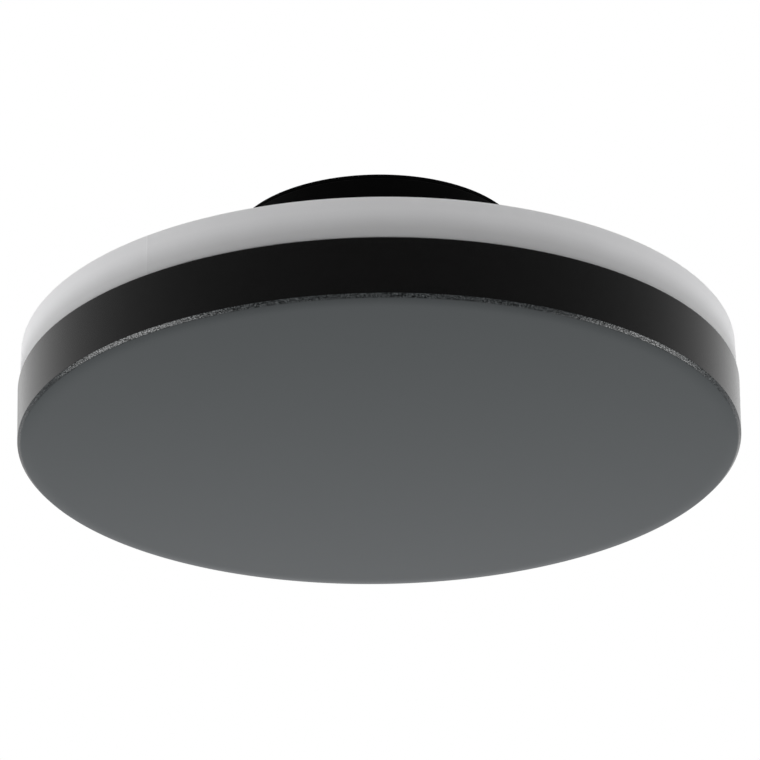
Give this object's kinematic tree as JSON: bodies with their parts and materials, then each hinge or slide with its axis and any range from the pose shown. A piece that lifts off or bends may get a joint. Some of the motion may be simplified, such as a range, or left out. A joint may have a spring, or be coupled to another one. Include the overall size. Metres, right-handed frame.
{
  "type": "outdoor wall light",
  "caption": "Round outdoor light with a flat black front cover, an opal ring diffuser behind it and a small round canopy that fixes to a wall or porch ceiling.",
  "frame": {"origin": "centre of the mounting face, where the canopy meets the wall or ceiling", "axes": "+Z into the wall or ceiling, so the lamp's front face looks along -Z; +X along the two slots"},
  "size_m": [0.2612, 0.2612, 0.0866],
  "materials": {
    "black_coat": "satin",
    "opal": "satin",
    "galvanised": "satin",
    "zinc": "satin",
    "black_steel": "satin",
    "brass": "satin",
    "tin": "satin",
    "copper": "satin",
    "black_rubber": "matte",
    "grey_silicone": "matte",
    "bare_aluminium": "satin",
    "white_board": "satin",
    "phosphor": "satin",
    "white_plastic": "satin",
    "grey_plastic": "satin",
    "orange_plastic": "satin",
    "green_board": "satin",
    "ferrite": "matte",
    "capacitor_sleeve": "gloss",
    "brown_lead": "satin",
    "blue_lead": "satin",
    "earth_lead": "satin",
    "red_lead": "satin",
    "black_lead": "satin"
  },
  "bodies": {
    "wall_plate": {"mounting_plate": "galvanised", "cable_grommet": "black_rubber", "plate_earth_screw": "brass"},
    "lamp": {"front_cover": "black_coat", "canopy": "black_coat", "diffuser": "opal", "canopy_screws": "zinc", "cover_screws": "zinc", "board_screws": "zinc", "driver_screws": "zinc", "terminal_screws": "zinc", "set_screws": "black_steel", "earth_screw": "brass", "earth_tag": "tin", "terminal_contacts": "copper", "canopy_gasket": "black_rubber", "lead_grommet": "black_rubber", "diffuser_gasket": "grey_silicone", "cover_gasket": "grey_silicone", "carrier_plate": "bare_aluminium", "led_board": "white_board", "led_chips": "phosphor", "board_connector": "white_plastic", "driver_case": "white_plastic", "driver_lid": "white_plastic", "terminal_block": "grey_plastic", "driver_board": "green_board", "driver_transformer": "ferrite", "driver_capacitor": "capacitor_sleeve", "mains_lead_live": "brown_lead", "mains_lead_neutral": "blue_lead", "earth_lead": "earth_lead", "led_lead_positive": "red_lead", "led_lead_negative": "black_lead"},
    "button_live": {"terminal_button_live": "orange_plastic"},
    "button_neutral": {"terminal_button_neutral": "orange_plastic"},
    "button_earth": {"terminal_button_earth": "orange_plastic"}
  },
  "joints": [
    {"name": "lamp_slide", "type": "slide", "parent": "wall_plate", "child": "lamp", "axis": [0, 0, -1], "range_m": [0, 0.06]},
    {"name": "button_live_press", "type": "slide", "parent": "lamp", "child": "button_live", "axis": [0, 0, -1], "range_m": [0, 0.0015], "stiffness_N_per_m": 2000},
    {"name": "button_neutral_press", "type": "slide", "parent": "lamp", "child": "button_neutral", "axis": [0, 0, -1], "range_m": [0, 0.0015], "stiffness_N_per_m": 2000},
    {"name": "button_earth_press", "type": "slide", "parent": "lamp", "child": "button_earth", "axis": [0, 0, -1], "range_m": [0, 0.0015], "stiffness_N_per_m": 2000}
  ]
}
